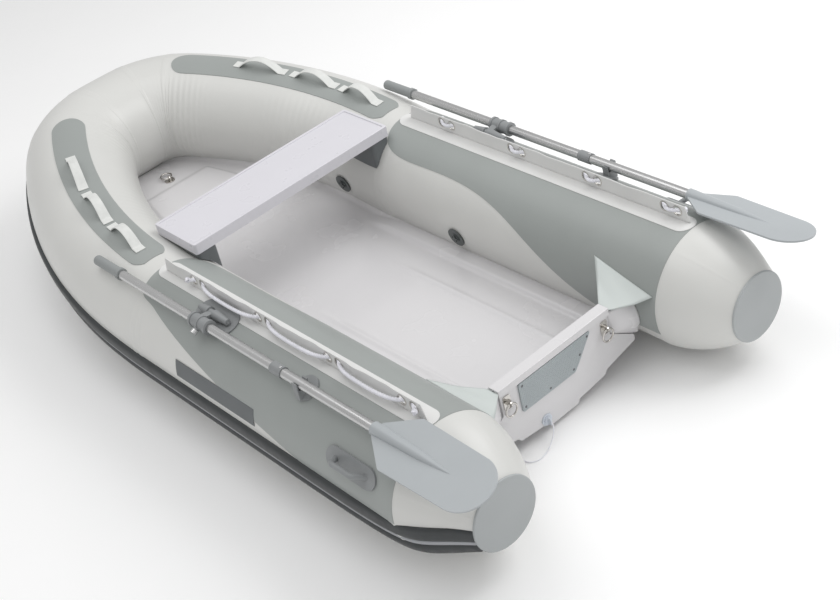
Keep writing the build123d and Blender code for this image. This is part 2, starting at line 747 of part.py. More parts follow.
# The foot, the block and the two lips stay separate solids, so that each has its own collision shape.
clip_solids = [solid for piece in (clip_foot, clip_block, clip_lip) for solid in both_sides(piece.part).solids()]
save(Compound(clip_solids), "oar_clips")

# ---------------------------------------------------------------- carry handles and badge
carry_x = transom_x + 34.0
carry_angle = 26.5
carry_span = 124.0
carry_reach = 36.0
carry_plane = tube_plane(carry_x, carry_angle, patch)
with BuildPart() as carry_handle:
    with BuildSketch(carry_plane.offset(-14)):
        SlotOverall(196, 62)
    extrude(amount=19)
    with BuildLine() as bar:
        half = carry_span / 2
        spots = [(-half, 1), (-half + 22, carry_reach), (half - 22, carry_reach), (half, 1)]
        FilletPolyline(*[carry_plane.origin + Vector(1, 0, 0) * u + carry_plane.z_dir * w for u, w in spots],
                       radius=14)
    with BuildSketch(Plane(origin=bar.line @ 0, z_dir=bar.line % 0)):
        Circle(8)
    sweep(path=bar.wires()[0])
    with BuildSketch(Plane(origin=aft_end - Vector(10, 0, 0), x_dir=(0, 1, 0), z_dir=(1, 0, 0))):
        Circle(tube_radius + patch + fit_gap)
    extrude(amount=2000, mode=Mode.SUBTRACT)
save(both_sides(carry_handle.part), "carry_handles")

badge_low, badge_high = 6.0, 22.0
badge_back, badge_front = transom_x + 455.0, transom_x + 838.0
with BuildPart() as badge:
    add(along(["aft"], tube_radius + patch, tube_radius + patch + 1.0, badge_low, badge_high))
    with BuildSketch(Plane.XY):
        with Locations(((badge_back + badge_front) / 2, half_gauge + tube_radius)):
            Rectangle(badge_front - badge_back, 2 * tube_radius)
    extrude(amount=600, mode=Mode.INTERSECT)
save(badge.part, "side_badge")

# ---------------------------------------------------------------- valves
with BuildPart() as valve_bodies:
    for plane in valves.values():
        with BuildSketch(plane.offset(0.6)):
            Circle(valve_flange)
        extrude(amount=4)
        with BuildSketch(plane.offset(-valve_depth + 2)):
            Circle(valve_barrel)
        extrude(amount=valve_depth)
        with BuildSketch(plane.offset(4.6 - 3.5)):
            Circle(16.5)
        extrude(amount=20, mode=Mode.SUBTRACT)
save(valve_bodies.part, "valve_bodies")

for name, plane in valves.items():
    with BuildPart() as valve_cap:
        with BuildSketch(plane.offset(1.5)):
            Circle(16.2)
        extrude(amount=5)
        with BuildSketch(plane.offset(6.5)):
            Rectangle(26, 5)
            Rectangle(5, 26)
        extrude(amount=4)
    save(valve_cap.part, f"{name}_valve_cap")

# ---------------------------------------------------------------- rigid hull and deck
bow_end_x = tip_x - 83.0
step_low_x = transom_x + 1449.0
step_high_x = step_low_x + 160.0
deck_line = [(transom_x, floor_z), (step_low_x, floor_z + 2), (step_high_x, bow_floor_z - 5),
             (bow_end_x - 130, bow_floor_z + 2), (bow_end_x, bow_floor_z + 5)]
# station x, keel height, keel half, stringer y and z, chine y and z, sheer y
hull_stations = [
    (transom_x, keel_strip, keel_half, 175, 46, 300, 76, 322),
    (step_low_x, keel_strip, keel_half, 172, 52, 284, 80, 306),
    (step_high_x, 24, 36, 140, 72, 232, 104, 262),
    (bow_end_x - 130, 62, 22, 82, 96, 132, 122, 156),
    (bow_end_x, 112, 8, 26, 124, 42, 134, 56),
]


def hull_loft(inset, top_up):
    """Stepped V bottom, closed flat under the deck."""
    with BuildPart() as body:
        for (x, keel, flat, y1, z1, y2, z2, y3), (_, deck_z) in zip(hull_stations, deck_line):
            top = deck_z - laminate + top_up
            half = [(flat, keel + inset), (y1 - inset, z1 + inset), (y2 - inset, z2 + inset),
                    (y3 - inset, top)]
            outline = half + [(-y, z) for y, z in reversed(half)]
            with BuildSketch(Plane(origin=(x, 0, 0), x_dir=(0, 1, 0), z_dir=(1, 0, 0))):
                with BuildLine():
                    Polyline(*outline, close=True)
                make_face()
        loft(ruled=True)
    return body.part


with BuildPart() as hull:
    add(hull_loft(0, 0))
    add(hull_loft(laminate, 1), mode=Mode.SUBTRACT)
    add(tube_cut, mode=Mode.SUBTRACT)
save(hull.part, "hull")

keel_strip_length = step_low_x - transom_x - 60
with BuildPart() as keel:
    with BuildSketch(Plane.XY):
        with Locations((transom_x + 20 + keel_strip_length / 2, 0)):
            SlotOverall(keel_strip_length, 2 * keel_half)
    extrude(amount=keel_strip)
save(keel.part, "keel_strip")

with BuildPart() as deck_blank:
    with BuildSketch(Plane(origin=(0, 0, 0), x_dir=(1, 0, 0), z_dir=(0, -1, 0))):
        with BuildLine():
            below = [(x, z - laminate) for x, z in reversed(deck_line)]
            Polyline(*deck_line, *below, close=True)
        make_face()
    extrude(amount=400, both=True)
    add(tube_cut, mode=Mode.SUBTRACT)
# Only the floor between the tubes is kept, not the slivers outboard of them.
with BuildPart() as deck:
    add(deck_blank.part.solids().sort_by(SortBy.VOLUME)[-1])
save(deck.part, "deck")

# ---------------------------------------------------------------- transom
board_back = transom_x - board
with BuildPart() as transom:
    with BuildSketch(Plane(origin=(transom_x, 0, 0), x_dir=(0, -1, 0), z_dir=(-1, 0, 0))):
        half_outline = [(0, 17), (52, 17), (62, 30), (167, 41), (179, 55), (252, 70), (300, 80), (300, 100),
                        (transom_half, 160), (transom_half, transom_top)]
        other = [(-y, z) for y, z in reversed(half_outline[1:])]
        with BuildLine():
            Polyline(*[(-y, z) for y, z in half_outline], *[(-y, z) for y, z in other], close=True)
        make_face()
    extrude(amount=board)
    with BuildSketch(Plane(origin=(transom_x, drain_y, drain_z), x_dir=(0, 1, 0), z_dir=(-1, 0, 0))):
        Circle(drain_hole + fit_gap)
    extrude(amount=board, mode=Mode.SUBTRACT)
    add(tube_cut, mode=Mode.SUBTRACT)
save(transom.part, "transom")

with BuildPart() as transom_cap:
    with BuildSketch(Plane(origin=(0, 0, 0), x_dir=(1, 0, 0), z_dir=(0, -1, 0))):
        with Locations((transom_x - board / 2, transom_top + cap_wall - cap_depth / 2 - cap_wall / 2)):
            Rectangle(board + 2 * cap_wall, cap_depth + cap_wall)
    extrude(amount=transom_half + cap_wall, both=True)
    with BuildSketch(Plane.XY.offset(transom_top)):
        with Locations((transom_x - board / 2, 0)):
            Rectangle(board, 2 * transom_half)
    extrude(amount=-cap_depth, mode=Mode.SUBTRACT)
    fillet(transom_cap.edges().filter_by(Axis.Y).group_by(Axis.Z)[-1], 2)
save(transom_cap.part, "transom_cap")

pad_plate = 5.0
pad_top = transom_top - cap_depth - 2
screw_head = 4.0
screw_sink = 1.8            # the heads lie just below the face that the motor clamps on
pad_screws = [(133, pad_top - 12), (133, pad_top - 84), (38, pad_top - 86), (-54, pad_top - 84),
              (-84, pad_top - 52), (-120, pad_top - 12)]
with BuildPart() as motor_pads:
    for x, facing in ((board_back, -1), (transom_x, 1)):
        with BuildSketch(Plane(origin=(x, 0, 0), x_dir=(0, 1, 0), z_dir=(1, 0, 0))):
            with BuildLine():
                Polyline((145, pad_top), (145, pad_top - 96), (-58, pad_top - 96), (-80, pad_top - 72),
                         (-137, pad_top), close=True)
            make_face()
        extrude(amount=facing * pad_plate)
    fillet(motor_pads.edges().filter_by(Axis.X), 5)
    for x, facing in ((board_back - pad_plate, 1), (transom_x + pad_plate, -1)):
        with BuildSketch(Plane(origin=(x, 0, 0), x_dir=(0, 1, 0), z_dir=(1, 0, 0))):
            with Locations(*pad_screws):
                Circle(screw_head + 0.1)
        extrude(amount=facing * screw_sink, mode=Mode.SUBTRACT)
save(motor_pads.part, "motor_pads")

# ---------------------------------------------------------------- towing eyes and drain
ring_wire = 3.0
ring_mean = 20.0
lug_hole = 3.8
eye_out = 11.0
eye_y = 190.0
eye_z = 196.0
eye_x = board_back - 3 - eye_out
with BuildPart() as towing_eye:
    with BuildSketch(Plane(origin=(board_back, eye_y, eye_z), x_dir=(0, 1, 0), z_dir=(-1, 0, 0))):
        RectangleRounded(26, 46, 6)
    extrude(amount=3)
    with BuildSketch(Plane(origin=(0, eye_y, eye_z), x_dir=(1, 0, 0), z_dir=(0, -1, 0))):
        with Locations((eye_x, 0)):
            Circle(8)
        with Locations((eye_x + eye_out / 2, 0)):
            Rectangle(eye_out, 16)
        with Locations((eye_x, 0)):
            Circle(lug_hole, mode=Mode.SUBTRACT)
    extrude(amount=2.5, both=True)
save(both_sides(towing_eye.part), "towing_eyes")

with BuildPart() as tow_ring:
    with Locations(Location(Vector(eye_x, eye_y, eye_z - ring_mean), (0, 90, 0))):
        Torus(ring_mean, ring_wire)
save(tow_ring.part, "port_tow_ring")
save(starboard(tow_ring.part), "starboard_tow_ring")

bow_eye_x = tip_x - 242.0
eye_floor = bow_floor_z + 2
bow_eye_height = 11.0
with BuildPart() as bow_eye:
    with BuildSketch(Plane.XY.offset(eye_floor)):
        with Locations((bow_eye_x, 0)):
            Circle(19)
    extrude(amount=3)
    with BuildSketch(Plane(origin=(bow_eye_x, 0, eye_floor + bow_eye_height), x_dir=(1, 0, 0),
                           z_dir=(0, -1, 0))):
        Circle(8)
        with Locations((0, -bow_eye_height / 2)):
            Rectangle(16, bow_eye_height)
        Circle(lug_hole, mode=Mode.SUBTRACT)
    extrude(amount=2.5, both=True)
    with BuildSketch(Plane(origin=(0, 0, 0), x_dir=(1, 0, 0), z_dir=(0, -1, 0))):
        with BuildLine():
            Polyline(*deck_line, (bow_end_x, 0), (transom_x, 0), close=True)
        make_face()
    extrude(amount=100, both=True, mode=Mode.SUBTRACT)
save(bow_eye.part, "bow_eye")

with BuildPart() as bow_ring:
    with Locations(Location(Vector(bow_eye_x + ring_mean, 0, eye_floor + bow_eye_height), (0, 0, 0))):
        Torus(ring_mean, ring_wire)
save(bow_ring.part, "bow_ring")

drain_plane = Plane(origin=(board_back, drain_y, drain_z), x_dir=(0, 1, 0), z_dir=(-1, 0, 0))
with BuildPart() as drain_socket:
    with BuildSketch(drain_plane):
        RegularPolygon(19, 8)
    extrude(amount=4)
    with BuildSketch(drain_plane):
        Circle(drain_hole)
    extrude(amount=-board)
    with BuildSketch(drain_plane.offset(4)):
        Circle(drain_hole - 2)
    extrude(amount=-board - 4, mode=Mode.SUBTRACT)
save(drain_socket.part, "drain_socket")

with BuildPart() as drain_plug:
    with BuildSketch(drain_plane.offset(-20)):
        Circle(drain_hole - 2 - run_gap)
    extrude(amount=24.3)
    with BuildSketch(drain_plane.offset(4.3)):
        Circle(12)
    extrude(amount=5)
    with BuildSketch(drain_plane.offset(9.3)):
        Rectangle(6, 22)
    extrude(amount=9)
save(drain_plug.part, "drain_plug")

# ---------------------------------------------------------------- drain plug lanyard, free and limp
lanyard_radius = 1.6
saddle_x, saddle_y, saddle_z = transom_x + 16.0, 188.0, 30.4
plug_face = board_back - 18.3
lanyard_points = [
    Vector(plug_face - 1, drain_y, drain_z),
    Vector(plug_face - 16, drain_y + 6, drain_z - 4),
    Vector(plug_face - 26, drain_y + 24, 26),
    Vector(plug_face - 32, drain_y + 46, 9),
    Vector(plug_face - 38, drain_y + 72, 2.2),
    Vector(plug_face - 40, drain_y + 98, 2.0),
    Vector(plug_face - 28, drain_y + 120, 2.2),
    Vector(plug_face - 5, drain_y + 127, 3.0),
    Vector(plug_face + 16, drain_y + 124, 6.0),
    Vector(board_back + 6, saddle_y + 1, 17.0),
    Vector(saddle_x, saddle_y, saddle_z - 1.8),
]
save(cord(lanyard_points, lanyard_radius, "lanyard"), "drain_lanyard")

# ---------------------------------------------------------------- small fasteners
with BuildPart() as fasteners:
    # A screw in each end of the transom cap.
    for side in (1, -1):
        end = Vector(transom_x - board / 2, side * (transom_half + cap_wall), transom_top - 6)
        with BuildSketch(Plane(origin=end, x_dir=(1, 0, 0), z_dir=(0, side, 0))):
            Circle(5)
        extrude(amount=2.5)
    # Screw heads sunk in both motor pads.
    for x, facing in ((board_back - pad_plate + screw_sink, -1), (transom_x + pad_plate - screw_sink, 1)):
        with BuildSketch(Plane(origin=(x, 0, 0), x_dir=(0, 1, 0), z_dir=(1, 0, 0))):
            with Locations(*pad_screws):
                Circle(screw_head)
        extrude(amount=facing * (screw_sink - 0.3))
    # The saddle that holds the lanyard under the hull.
    with BuildSketch(Plane(origin=(saddle_x, saddle_y, saddle_z), x_dir=(1, 0, 0), z_dir=(0, 0, 1))):
        RectangleRounded(12, 16, 2)
    extrude(amount=30)
    add(hull_loft(0, 0), mode=Mode.SUBTRACT)
save(fasteners.part, "fasteners")

# ---------------------------------------------------------------- gussets between the tubes and the transom
gusset = 3.0
gusset_z = transom_top - 2.0
web_top = transom_top - cap_depth - 2.0
with BuildPart() as gusset_flap:
    # Top flap, a triangle from the end of the transom out to the tube.
    with BuildSketch(Plane.XY.offset(gusset_z)):
        with BuildLine():
            Polyline((transom_x + 112, 340), (cone_front + 5, 340), (board_back - 6, transom_half + 8),
                     (transom_x + 4, transom_half + 8), close=True)
        make_face()
    extrude(amount=gusset)
    # Web, standing in the gap beside the transom board.
    with BuildSketch(Plane(origin=(transom_x - board / 2, 0, 0), x_dir=(0, 1, 0), z_dir=(1, 0, 0))):
        with BuildLine():
            Polyline((transom_half + 0.3, web_top), (transom_half + 0.3, 160.5), (300.3, 100.5),
                     (300.3, 84), (400, 84), (400, web_top), close=True)
        make_face()
    extrude(amount=gusset / 2, both=True)
    with BuildSketch(Plane(origin=aft_end - Vector(10, 0, 0), x_dir=(0, 1, 0), z_dir=(1, 0, 0))):
        Circle(tube_radius + patch + fit_gap)
    extrude(amount=2000, mode=Mode.SUBTRACT)
save(both_sides(gusset_flap.part), "transom_gussets")

# ---------------------------------------------------------------- seat
seat_mid = seat_aft + seat_width / 2
seat_under = seat_top - seat_thickness
with BuildPart() as seat:
    with BuildSketch(Plane.XY.offset(seat_under)):
        with Locations((seat_mid, 0)):
            RectangleRounded(seat_width, 2 * seat_half, 8)
    extrude(amount=seat_thickness)
    # A rim stands a little proud of the top.
    with BuildSketch(Plane.XY.offset(seat_top)):
        with Locations((seat_mid, 0)):
            RectangleRounded(seat_width - 20, 2 * seat_half - 20, 6)
    extrude(amount=-3, mode=Mode.SUBTRACT)
    fillet(seat.edges().group_by(Axis.Z)[-1], 2)
    with BuildSketch(Plane.XY.offset(seat_under)):
        with Locations((seat_mid, 0)):
            with GridLocations(0, 2 * seat_half / 6, 1, 6):
                Rectangle(seat_width - 2 * seat_wall, 2 * seat_half / 6 - seat_wall)
    extrude(amount=seat_thickness - 3 - seat_wall, mode=Mode.SUBTRACT)
save(seat.part, "seat")

bracket_y = 352.0
with BuildPart() as seat_bracket:
    with BuildSketch(Plane.XY.offset(seat_under - 90)):
        with Locations((seat_mid, bracket_y)):
            RectangleRounded(seat_width - 4, 70, 12)
    extrude(amount=90)
    with BuildSketch(Plane.XY.offset(seat_under)):
        with Locations((seat_mid, seat_half - 2 * seat_half / 12)):
            Rectangle(40, 30)
    extrude(amount=8)
    add(along(["aft", "bend", "incline", "shoulder"], 1, tube_radius + 3.5), mode=Mode.SUBTRACT)
bracket_solid = seat_bracket.part.solids().sort_by(SortBy.VOLUME)[-1]
save(both_sides(bracket_solid), "seat_brackets")
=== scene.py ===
import json
import math

import bmesh
import bpy
import numpy as np
from mathutils import Matrix, Vector
from mathutils.bvhtree import BVHTree


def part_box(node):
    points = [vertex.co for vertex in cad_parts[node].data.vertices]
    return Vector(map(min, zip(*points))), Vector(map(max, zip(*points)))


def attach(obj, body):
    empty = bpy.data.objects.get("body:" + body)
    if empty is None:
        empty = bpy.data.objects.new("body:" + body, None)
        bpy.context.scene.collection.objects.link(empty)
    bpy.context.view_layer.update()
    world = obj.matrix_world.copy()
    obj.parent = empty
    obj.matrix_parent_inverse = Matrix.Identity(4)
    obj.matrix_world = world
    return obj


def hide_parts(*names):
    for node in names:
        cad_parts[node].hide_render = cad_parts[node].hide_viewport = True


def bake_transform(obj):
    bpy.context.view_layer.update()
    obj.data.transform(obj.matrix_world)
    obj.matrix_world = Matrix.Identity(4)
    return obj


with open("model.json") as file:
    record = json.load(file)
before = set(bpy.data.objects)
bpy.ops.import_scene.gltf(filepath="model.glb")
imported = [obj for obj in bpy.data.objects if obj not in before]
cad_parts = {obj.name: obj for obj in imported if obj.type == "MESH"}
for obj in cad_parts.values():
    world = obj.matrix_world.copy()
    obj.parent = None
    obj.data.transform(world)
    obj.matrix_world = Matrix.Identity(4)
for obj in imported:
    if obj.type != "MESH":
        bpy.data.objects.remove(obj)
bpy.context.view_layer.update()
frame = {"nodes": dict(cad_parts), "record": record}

# A rigid inflatable tender, in metres. +X to the bow, +Y to port, +Z up.
scene = bpy.context.scene
MM = 0.001


def link(name, data):
    piece = bpy.data.objects.new(name, data)
    scene.collection.objects.link(piece)
    return piece


# ------------------------------------------------------------------ camera
EYE = Vector((-3.500, 2.048, 2.778))
YAW, PITCH, ROLL = math.radians(-33.72), math.radians(-35.16), math.radians(-14.10)
ahead = Vector((math.cos(YAW) * math.cos(PITCH), math.sin(YAW) * math.cos(PITCH), math.sin(PITCH)))
level = ahead.cross(Vector((0, 0, 1))).normalized()
above = level.cross(ahead)
camera_right = level * math.cos(ROLL) + above * math.sin(ROLL)
camera_up = above * math.cos(ROLL) - level * math.sin(ROLL)
camera_data = bpy.data.cameras.new("camera")
camera_data.lens = 65.2
camera_data.sensor_width = 36.0
camera = link("camera", camera_data)
camera.matrix_world = Matrix.Translation(EYE) @ Matrix((camera_right, camera_up, -ahead)).transposed().to_4x4()
scene.camera = camera


# ------------------------------------------------------------------ cords
def nurbs_line(name, points, fineness=12):
    """Points along a smooth NURBS curve that has the route's points as its control points."""
    curve = bpy.data.curves.new(name, "CURVE")
    curve.dimensions = "3D"
    curve.resolution_u = fineness
    spline = curve.splines.new("NURBS")
    spline.points.add(len(points) - 1)
    for control, point in zip(spline.points, points):
        control.co = (*point, 1)
    spline.order_u = 3
    spline.use_endpoint_u = True
    holder = link(name, curve)
    bpy.context.view_layer.update()
    mesh = bpy.data.meshes.new_from_object(holder)
    line = np.array([tuple(v.co) for v in mesh.vertices])
    bpy.data.objects.remove(holder)
    bpy.data.meshes.remove(mesh)
    return line


def evenly(line, step):
    """The same line with its points a fixed step apart."""
    runs = np.linalg.norm(np.diff(line, axis=0), axis=1)
    far = np.concatenate([[0], np.cumsum(runs)])
    places = np.linspace(0, far[-1], max(3, int(far[-1] / step) + 1))
    return np.stack([np.interp(places, far, line[:, k]) for k in range(3)], 1), places


def frames(line):
    """Travel direction and two directions across it, carried along without twist."""
    travel = np.gradient(line, axis=0)
    travel /= np.linalg.norm(travel, axis=1)[:, None]
    side = np.cross(travel[0], (0.0, 0.0, 1.0))
    sides = []
    for heading in travel:
        side = side - heading * (side @ heading)
        side = side / np.linalg.norm(side)
        sides.append(side)
    sides = np.array(sides)
    return travel, sides, np.cross(travel, sides)


def tube_mesh(name, lines, radius, sides=8):
    """One mesh of closed tubes along several lines."""
    verts, faces = [], []
    for line in lines:
        _, side, up = frames(line)
        start = len(verts)
        for point, a, b in zip(line, side, up):
            for k in range(sides):
                turn = 2 * math.pi * k / sides
                verts.append(point + (a * math.cos(turn) + b * math.sin(turn)) * radius)
        for i in range(len(line) - 1):
            for k in range(sides):
                here, beside = start + i * sides + k, start + i * sides + (k + 1) % sides
                faces.append((here, here + sides, beside + sides, beside))
        faces.append([start + k for k in range(sides)])
        last = start + (len(line) - 1) * sides
        faces.append([last + k for k in reversed(range(sides))])
    mesh = bpy.data.meshes.new(name)
    mesh.from_pydata([tuple(v) for v in verts], [], faces)
    mesh.shade_smooth()
    return mesh


def strands(line, radius, lay, count=3):
    """Centrelines of the strands of a laid rope, and the radius of each."""
    points, places = evenly(line, lay / 12)
    _, side, up = frames(points)
    thick = radius * 0.50
    reach = radius - thick
    out = []
    for k in range(count):
        turn = 2 * math.pi * (places / lay + k / count)
        out.append(points + (side * np.cos(turn)[:, None] + up * np.sin(turn)[:, None]) * reach)
    return out, thick


def rope_knot(end, heading, radius, thick):
    """Centreline of a stopper knot, just past a rope's end."""
    heading = heading / np.linalg.norm(heading)
    side = np.cross(heading, (0.0, 0.0, 1.0))
    side /= np.linalg.norm(side)
    up = np.cross(side, heading)
    t = np.linspace(0, 2 * math.pi, 90)
    size = (radius - thick) / 3
    x, y = np.sin(t) + 2 * np.sin(2 * t), np.cos(t) - 2 * np.cos(2 * t)
    deep = -np.sin(3 * t) * size * 1.5
    centre = end + heading * size * 3
    return centre + np.outer(x, side) * size + np.outer(y, up) * size + np.outer(deep, heading)


LANYARD_RADIUS = 1.6 * MM
LANYARD = [(-1.0183, 0.070, 0.048), (-1.0333, 0.076, 0.044), (-1.0433, 0.094, 0.026), (-1.0493, 0.116, 0.009),
           (-1.0553, 0.142, 0.0022), (-1.0573, 0.168, 0.0020), (-1.0453, 0.190, 0.0022),
           (-1.0223, 0.197, 0.0030), (-1.0013, 0.194, 0.0060), (-0.9930, 0.189, 0.0170),
           (-0.9530, 0.188, 0.0286)]
lanyard_line, _ = evenly(nurbs_line("lanyard_route", LANYARD), 1.5 * MM)
lanyard = link("lanyard", tube_mesh("lanyard", [lanyard_line], LANYARD_RADIUS, 12))
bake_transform(lanyard)
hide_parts("drain_lanyard")

# The lifeline weaves through pairs of grommets in the rail flap, short stitches inboard.
GROMMET_PAIRS = [-0.083, -0.401, -0.713, -1.012]
GROMMET_PITCH = 0.046
GROMMET_HOLE = 0.013
ROPE_RADIUS = 6.0 * MM
ROPE_SLOPE = math.tan(math.radians(40))
ROPE_STAND = 0.017
ROPE_TAIL = 0.012
FLAP_Y = 0.496
GROMMET_Z = (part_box("rail_grommets")[0].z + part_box("rail_grommets")[1].z) / 2
holes = [x + end * GROMMET_PITCH / 2 for x in GROMMET_PAIRS for end in (1, -1)]
weave = [(holes[0] + ROPE_TAIL, ROPE_TAIL * ROPE_SLOPE, 0)]
for index in range(0, len(holes), 2):
    fore, aft = holes[index], holes[index + 1]
    if index:
        weave.append(((holes[index - 1] + fore) / 2, ROPE_STAND + 0.0015, -0.007))
        weave.append((fore + ROPE_STAND / ROPE_SLOPE, ROPE_STAND, 0))
    weave.append(((fore + aft) / 2, -GROMMET_PITCH / 2 * ROPE_SLOPE, 0))
    if index < len(holes) - 2:
        weave.append((aft - ROPE_STAND / ROPE_SLOPE, ROPE_STAND, 0))
weave.append((holes[-1] - ROPE_TAIL, ROPE_TAIL * ROPE_SLOPE, 0))
for name, sign in (("port", 1), ("starboard", -1)):
    route = [(x, sign * (FLAP_Y + out), GROMMET_Z + drop) for x, out, drop in weave]
    line = nurbs_line(f"{name}_rope_route", route, 16)
    laid, thick = strands(line, ROPE_RADIUS, 0.026)
    rope = link(f"{name}_rope", tube_mesh(f"{name}_rope", laid, thick))
    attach(rope, "boat")
    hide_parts(f"{name}_lifeline")
    knots = [rope_knot(line[i], line[i] - line[j], 9.5 * MM, 3.4 * MM) for i, j in ((0, 1), (-1, -2))]
    knot = link(f"{name}_rope_knots", tube_mesh(f"{name}_rope_knots", knots, 3.4 * MM))
    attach(knot, "boat")


# ------------------------------------------------------------------ materials
def surface(name, colour, rough, metal=0.0, mottle=0.03, mottle_size=0.25, rough_spread=0.05, grain=0.0,
            grain_size=0.0012, stretch=(1, 1, 1), coat=0.0, sheen=0.0, pattern=None, pattern_size=0.004,
            pattern_depth=0.0003, dirt=0.0):
    """A procedural material: uneven tone and gloss, fine grain, and an optional raised pattern."""
    material = bpy.data.materials.new(name)
    material.use_nodes = True
    nodes, links = material.node_tree.nodes, material.node_tree.links
    shader = nodes["Principled BSDF"]
    shader.inputs["Metallic"].default_value = metal
    shader.inputs["Coat Weight"].default_value = coat
    shader.inputs["Sheen Weight"].default_value = sheen
    where = nodes.new("ShaderNodeTexCoord").outputs["Object"]

    def noise(size, detail=3.0, squeeze=(1, 1, 1)):
        mapping = nodes.new("ShaderNodeMapping")
        mapping.inputs["Scale"].default_value = squeeze
        links.new(where, mapping.inputs["Vector"])
        node = nodes.new("ShaderNodeTexNoise")
        node.inputs["Scale"].default_value = 1 / size
        node.inputs["Detail"].default_value = detail
        links.new(mapping.outputs["Vector"], node.inputs["Vector"])
        return node.outputs["Fac"]

    def spread(value, low, high):
        node = nodes.new("ShaderNodeMapRange")
        node.inputs["From Min"].default_value = 0.3
        node.inputs["From Max"].default_value = 0.7
        node.inputs["To Min"].default_value = low
        node.inputs["To Max"].default_value = high
        links.new(value, node.inputs["Value"])
        return node.outputs["Result"]

    tone = nodes.new("ShaderNodeMix")
    tone.data_type = "RGBA"
    tone.inputs["A"].default_value = (*[c * (1 - mottle) for c in colour], 1)
    tone.inputs["B"].default_value = (*[min(1, c * (1 + mottle)) for c in colour], 1)
    links.new(spread(noise(mottle_size), 0, 1), tone.inputs["Factor"])
    shade = tone.outputs["Result"]
    if dirt:
        scuff = nodes.new("ShaderNodeMix")
        scuff.data_type = "RGBA"
        scuff.inputs["B"].default_value = (*[c * 0.72 for c in colour], 1)
        links.new(shade, scuff.inputs["A"])
        marks = nodes.new("ShaderNodeMapRange")
        marks.inputs["From Min"].default_value = 0.62
        marks.inputs["From Max"].default_value = 0.80
        marks.inputs["To Max"].default_value = dirt
        links.new(noise(0.035, 6.0), marks.inputs["Value"])
        links.new(marks.outputs["Result"], scuff.inputs["Factor"])
        shade = scuff.outputs["Result"]
    links.new(shade, shader.inputs["Base Color"])
    links.new(spread(noise(mottle_size / 3), max(0.02, rough - rough_spread), rough + rough_spread),
              shader.inputs["Roughness"])
    normal = None
    if grain:
        bump = nodes.new("ShaderNodeBump")
        bump.inputs["Strength"].default_value = grain
        bump.inputs["Distance"].default_value = grain_size / 4
        links.new(noise(grain_size, 2.0, stretch), bump.inputs["Height"])
        normal = bump.outputs["Normal"]
    if pattern:
        heights = None
        for axis in pattern:
            wave = nodes.new("ShaderNodeTexWave")
            wave.bands_direction = axis
            wave.inputs["Scale"].default_value = 0.314 / pattern_size
            links.new(where, wave.inputs["Vector"])
            if heights is None:
                heights = wave.outputs["Fac"]
            else:
                both = nodes.new("ShaderNodeMath")
                both.operation = "MULTIPLY"
                links.new(heights, both.inputs[0])
                links.new(wave.outputs["Fac"], both.inputs[1])
                heights = both.outputs["Value"]
        relief = nodes.new("ShaderNodeBump")
        relief.inputs["Distance"].default_value = pattern_depth
        links.new(heights, relief.inputs["Height"])
        if normal:
            links.new(normal, relief.inputs["Normal"])
        normal = relief.outputs["Normal"]
    if normal:
        links.new(normal, shader.inputs["Normal"])
    return material


